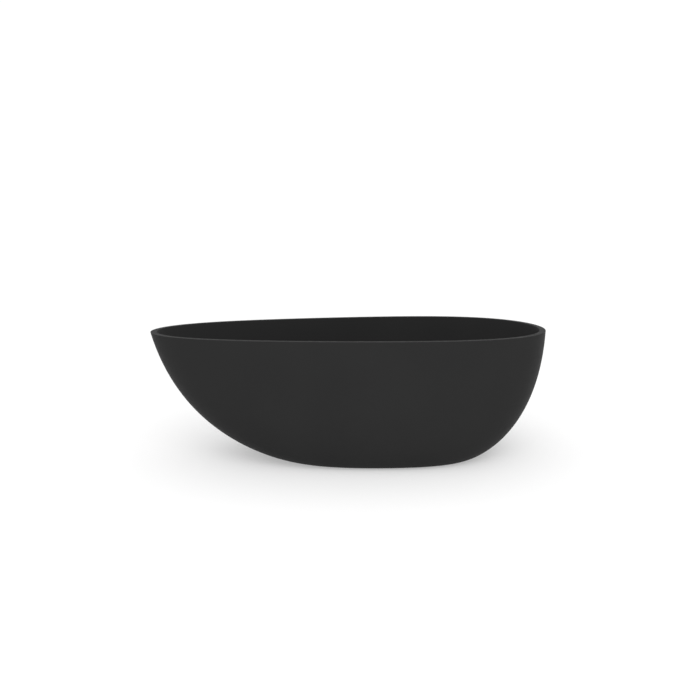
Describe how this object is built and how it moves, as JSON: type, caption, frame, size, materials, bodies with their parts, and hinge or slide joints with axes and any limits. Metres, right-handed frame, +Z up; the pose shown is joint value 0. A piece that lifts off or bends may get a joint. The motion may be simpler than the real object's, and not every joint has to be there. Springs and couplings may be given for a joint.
{
  "type": "freestanding bathtub",
  "caption": "Egg-shaped freestanding bathtub with a double skin and thin flat rim, on a steel frame with levelling feet, with push waste, overflow and trap.",
  "frame": {"origin": "on the floor, under the middle of the rim", "axes": "+X along the tub to the waste end, -X to the sloping head end, +Z up"},
  "size_m": [1.7, 0.8, 0.55],
  "materials": {
    "tub_acrylic": "matte",
    "bond_paste": "matte",
    "board_wood": "matte",
    "frame_steel": "satin",
    "zinc_steel": "satin",
    "black_plastic": "matte",
    "rubber_seal": "matte",
    "polished_chrome": "polished",
    "barrel_brass": "satin",
    "spring_steel": "satin",
    "hose_plastic": "satin",
    "grey_plastic": "satin"
  },
  "bodies": {
    "tub": {"outer_skin": "tub_acrylic", "inner_bath": "tub_acrylic", "bond_bead": "bond_paste", "base_board": "board_wood", "rail_front": "frame_steel", "rail_back": "frame_steel", "cross_bar_head": "frame_steel", "cross_bar_middle": "frame_steel", "cross_bar_waste": "frame_steel", "rail_caps": "black_plastic", "foot_plates": "frame_steel", "board_screws": "zinc_steel", "skirt_brackets": "frame_steel", "bracket_bolts": "zinc_steel", "skirt_screws": "zinc_steel", "lock_nuts": "zinc_steel", "waste_flange": "polished_chrome", "waste_gasket_top": "rubber_seal", "waste_gasket_bottom": "rubber_seal", "waste_body": "grey_plastic", "plug_barrel": "barrel_brass", "plug_spring": "spring_steel", "overflow_cover": "polished_chrome", "overflow_gasket_front": "rubber_seal", "overflow_gasket_back": "rubber_seal", "overflow_body": "grey_plastic", "overflow_screw": "polished_chrome", "overflow_hose": "hose_plastic", "hose_nuts": "grey_plastic", "trap_nut": "grey_plastic", "trap_washer": "rubber_seal", "trap_body": "grey_plastic", "trap_cup": "grey_plastic", "trap_cup_seal": "rubber_seal", "outlet_nut": "grey_plastic", "outlet_elbow": "grey_plastic"},
    "plug": {"plug_cap": "polished_chrome", "plug_seal": "rubber_seal", "plug_stem": "zinc_steel"},
    "foot_1": {"foot_pad_1": "black_plastic"},
    "stud_1": {"foot_stud_1": "zinc_steel"},
    "foot_2": {"foot_pad_2": "black_plastic"},
    "stud_2": {"foot_stud_2": "zinc_steel"},
    "foot_3": {"foot_pad_3": "black_plastic"},
    "stud_3": {"foot_stud_3": "zinc_steel"},
    "foot_4": {"foot_pad_4": "black_plastic"},
    "stud_4": {"foot_stud_4": "zinc_steel"}
  },
  "joints": [
    {"name": "plug_push", "type": "slide", "parent": "tub", "child": "plug", "axis": [0, 0, 1], "range_m": [-0.009, 0], "stiffness_N_per_m": 500, "springref_m": 0.004, "deforming": ["plug_spring"]},
    {"name": "foot_1_height", "type": "slide", "parent": "tub", "child": "foot_1", "axis": [0, 0, -1], "range_m": [0, 0.02]},
    {"name": "foot_1_turn", "type": "hinge", "parent": "foot_1", "child": "stud_1", "pos_m": [-0.19, -0.13, 0.05], "axis": [0, 0, -1], "range_deg": [0, 4115]},
    {"name": "foot_2_height", "type": "slide", "parent": "tub", "child": "foot_2", "axis": [0, 0, -1], "range_m": [0, 0.02]},
    {"name": "foot_2_turn", "type": "hinge", "parent": "foot_2", "child": "stud_2", "pos_m": [-0.19, 0.13, 0.05], "axis": [0, 0, -1], "range_deg": [0, 4115]},
    {"name": "foot_3_height", "type": "slide", "parent": "tub", "child": "foot_3", "axis": [0, 0, -1], "range_m": [0, 0.02]},
    {"name": "foot_3_turn", "type": "hinge", "parent": "foot_3", "child": "stud_3", "pos_m": [0.44, -0.13, 0.05], "axis": [0, 0, -1], "range_deg": [0, 4115]},
    {"name": "foot_4_height", "type": "slide", "parent": "tub", "child": "foot_4", "axis": [0, 0, -1], "range_m": [0, 0.02]},
    {"name": "foot_4_turn", "type": "hinge", "parent": "foot_4", "child": "stud_4", "pos_m": [0.44, 0.13, 0.05], "axis": [0, 0, -1], "range_deg": [0, 4115]}
  ],
  "couplings": [
    {"joint": "foot_1_turn", "follows": "foot_1_height", "rad_per_m": 3590.4},
    {"joint": "foot_2_turn", "follows": "foot_2_height", "rad_per_m": 3590.4},
    {"joint": "foot_3_turn", "follows": "foot_3_height", "rad_per_m": 3590.4},
    {"joint": "foot_4_turn", "follows": "foot_4_height", "rad_per_m": 3590.4}
  ]
}
